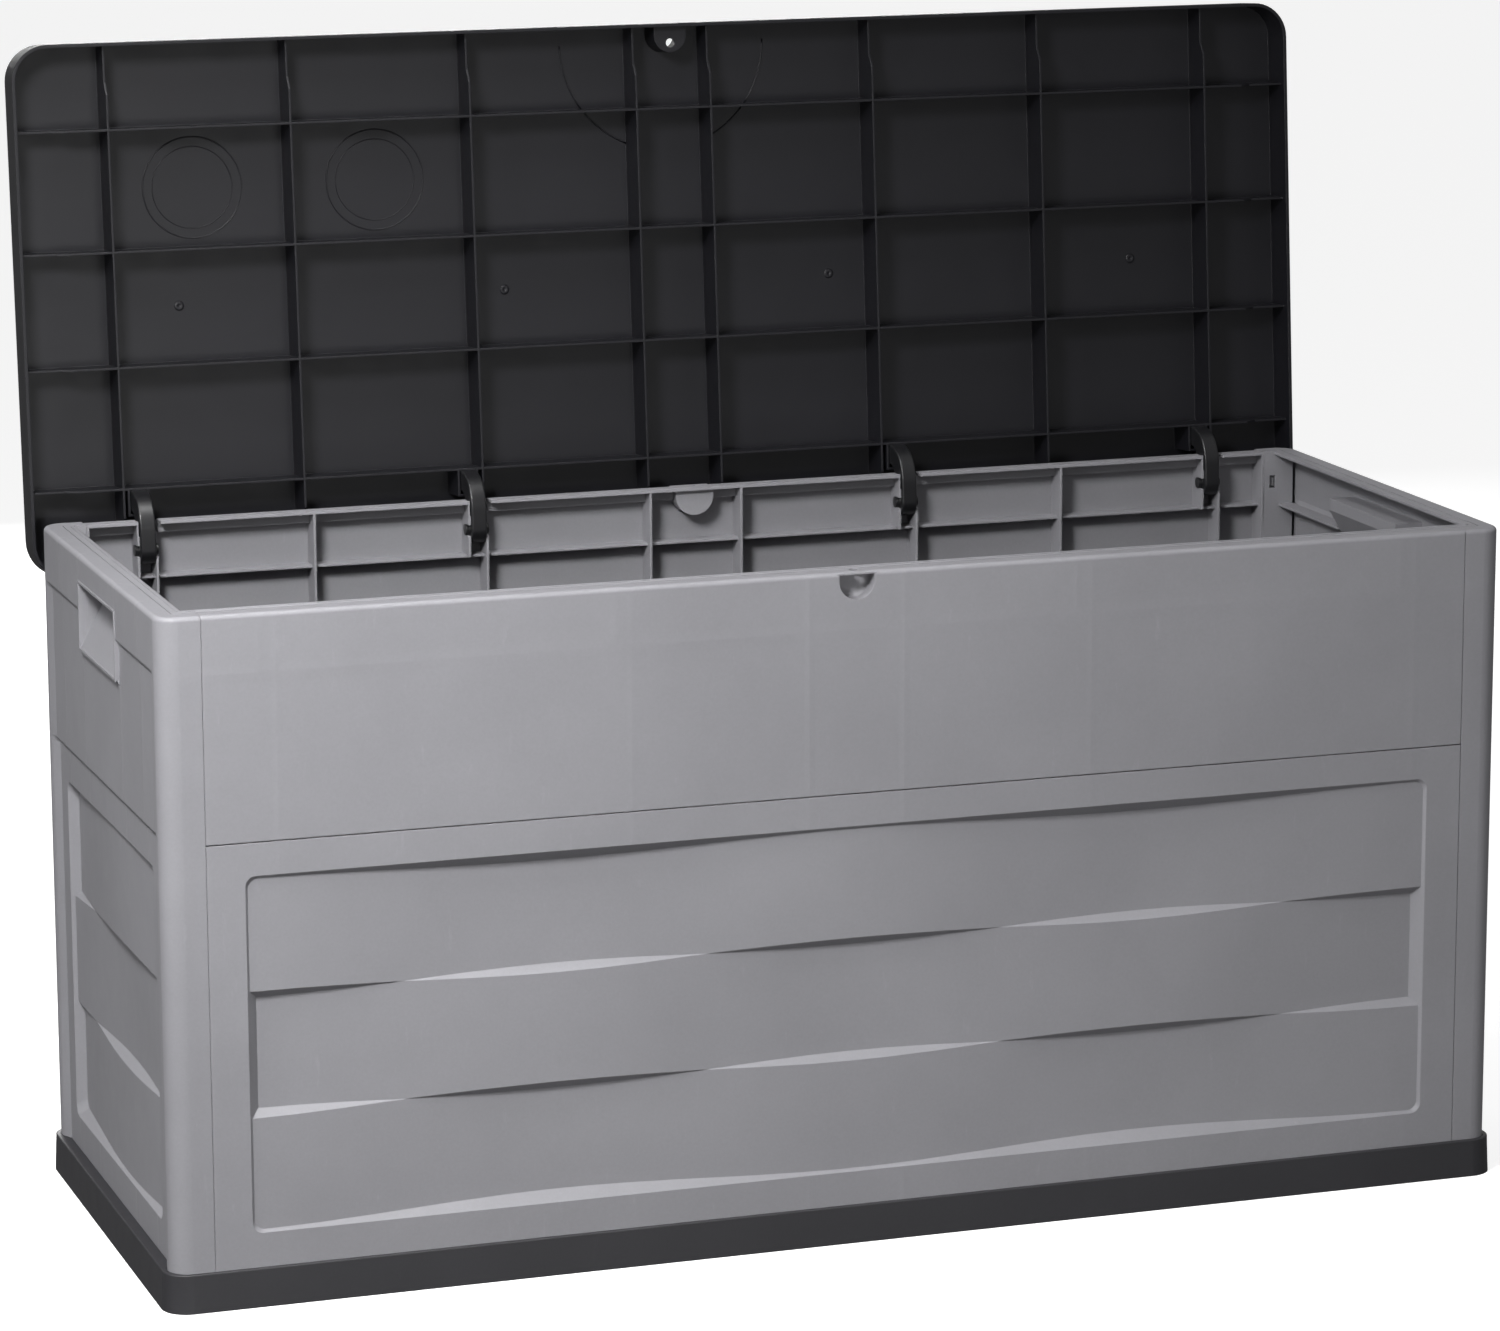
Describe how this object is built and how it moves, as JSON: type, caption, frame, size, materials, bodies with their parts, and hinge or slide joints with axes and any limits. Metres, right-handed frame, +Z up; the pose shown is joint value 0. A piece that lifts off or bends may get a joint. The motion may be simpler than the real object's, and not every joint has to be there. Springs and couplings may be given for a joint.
{
  "type": "deck storage box",
  "caption": "Outdoor storage box with panelled walls on a plinth tray and a full-width ribbed lid that swings on gooseneck hinge arms.",
  "frame": {"origin": "centre of the base's underside, on the surface the box stands on", "axes": "+X along the length to the right end, +Y from the front to the hinge side, +Z up"},
  "size_m": [1.2, 0.5294, 0.9921],
  "materials": {
    "panel_plastic": "cool grey fine-grained resin",
    "lid_plastic": "charcoal resin",
    "base_plastic": "charcoal resin",
    "hinge_plastic": "black resin"
  },
  "bodies": {
    "box": {"base_tray": "base_plastic", "left_end_panel": "panel_plastic", "right_end_panel": "panel_plastic", "front_lower_panel": "panel_plastic", "front_upper_panel": "panel_plastic", "back_lower_panel": "panel_plastic", "back_upper_panel": "panel_plastic"},
    "lid": {"lid": "lid_plastic", "hinge_arm_1": "hinge_plastic", "hinge_arm_2": "hinge_plastic", "hinge_arm_3": "hinge_plastic", "hinge_arm_4": "hinge_plastic"}
  },
  "joints": [
    {"name": "lid_hinge", "type": "hinge", "parent": "box", "child": "lid", "pos_m": [0, 0.2085, 0.554], "axis": [1, 0, 0], "range_deg": [0, 94.5]}
  ]
}
